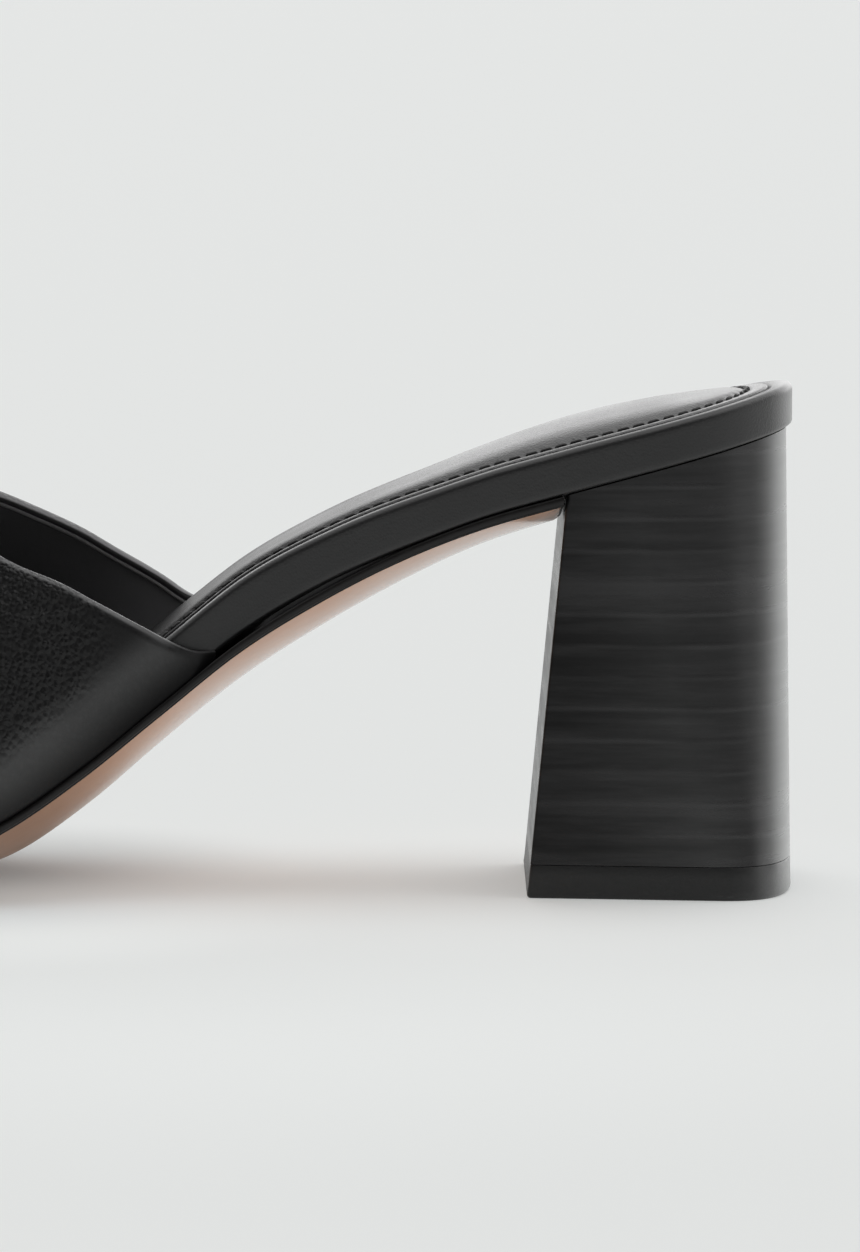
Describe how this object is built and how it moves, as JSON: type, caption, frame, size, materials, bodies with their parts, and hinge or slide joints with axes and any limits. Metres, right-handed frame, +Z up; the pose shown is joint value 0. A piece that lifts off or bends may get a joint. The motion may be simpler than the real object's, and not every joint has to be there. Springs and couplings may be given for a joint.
{
  "type": "heeled mule shoe",
  "caption": "Backless left shoe with a closed vamp over the toes, a padded insole with a thick side wall, a thin bowed sole and a high block heel.",
  "frame": {"origin": "on the floor, under the middle of the shoe's box", "axes": "+X from toe to heel, -Y to the outer side of the foot, +Z up"},
  "size_m": [0.2296, 0.0854, 0.0835],
  "materials": {
    "sole_leather": "tan, satin, black painted edge",
    "insole_leather": "black, smooth, wrapped",
    "sock_leather": "black, fine grain, padded and stitched",
    "upper_leather": "black, pebbled",
    "heel_lacquer": "black lacquer over a stacked pattern",
    "lift_rubber": "black, smooth"
  },
  "bodies": {
    "root": {"outsole": "sole_leather", "insole_board": "insole_leather", "sock": "sock_leather", "upper": "upper_leather", "heel_block": "heel_lacquer", "top_lift": "lift_rubber"}
  },
  "joints": []
}
